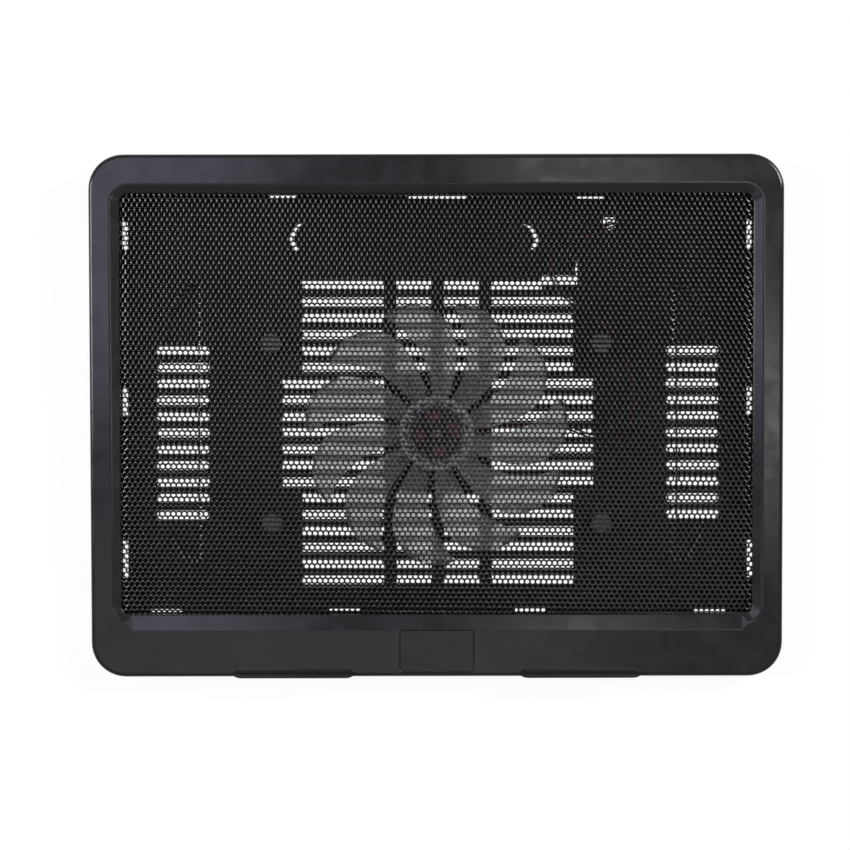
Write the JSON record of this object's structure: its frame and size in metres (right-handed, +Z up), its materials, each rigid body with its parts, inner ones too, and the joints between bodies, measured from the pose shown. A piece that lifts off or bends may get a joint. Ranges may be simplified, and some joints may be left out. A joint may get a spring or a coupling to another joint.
{
  "type": "laptop cooling pad",
  "caption": "Wedge-shaped laptop cooling pad: black plastic frame, perforated steel deck, large clear-bladed fan over a slotted base, fold-out rear stand.",
  "frame": {"origin": "middle of the pad's box on the desk, under the rubber feet", "axes": "+X to the user's right, +Y to the rear (the high edge), +Z up from the desk"},
  "size_m": [0.35, 0.2652, 0.0342],
  "materials": {
    "frame_plastic": "satin moulded",
    "base_plastic": "fine texture",
    "mesh_paint": "satin black",
    "badge_plastic": "satin, blank",
    "screw_steel": "zinc plated",
    "rubber": "matt",
    "foam": "soft matt",
    "white_plastic": "smooth",
    "bronze": "sintered",
    "board": "lacquered",
    "chip": "moulded",
    "core_steel": "oiled",
    "copper": "enamelled copper wire",
    "wire_red": "soft vinyl",
    "wire_black": "soft vinyl",
    "clear_plastic": "clear, slightly hazy",
    "ferrite": "matt",
    "bright_steel": "ground"
  },
  "bodies": {
    "housing": {"top_frame": "frame_plastic", "base_shell": "base_plastic", "mesh_panel": "mesh_paint", "badge_plate": "badge_plastic", "housing_screws": "screw_steel", "front_feet": "rubber", "rear_feet": "rubber", "mesh_rests": "foam", "motor_carrier": "base_plastic", "carrier_screws": "screw_steel", "thrust_pad": "white_plastic", "bearing_sleeve": "bronze", "motor_board": "board", "board_parts": "chip", "stator_core": "core_steel", "stator_coils": "copper", "lead_red": "wire_red", "lead_black": "wire_black", "cord_gland": "rubber", "stand_pin": "bright_steel"},
    "fan_rotor": {"impeller": "clear_plastic", "rotor_yoke": "core_steel", "magnet_ring": "ferrite", "fan_shaft": "bright_steel", "shaft_clip": "screw_steel"},
    "stand": {"rear_stand": "base_plastic", "stand_tread": "rubber"}
  },
  "joints": [
    {"name": "fan_spin", "type": "hinge", "parent": "housing", "child": "fan_rotor", "pos_m": [0, -0.00891, 0.015], "axis": [0, 0, 1], "continuous": true},
    {"name": "stand_fold", "type": "hinge", "parent": "housing", "child": "stand", "pos_m": [0, 0.09169, 0.007], "axis": [1, 0, 0], "range_deg": [0, 105]}
  ]
}
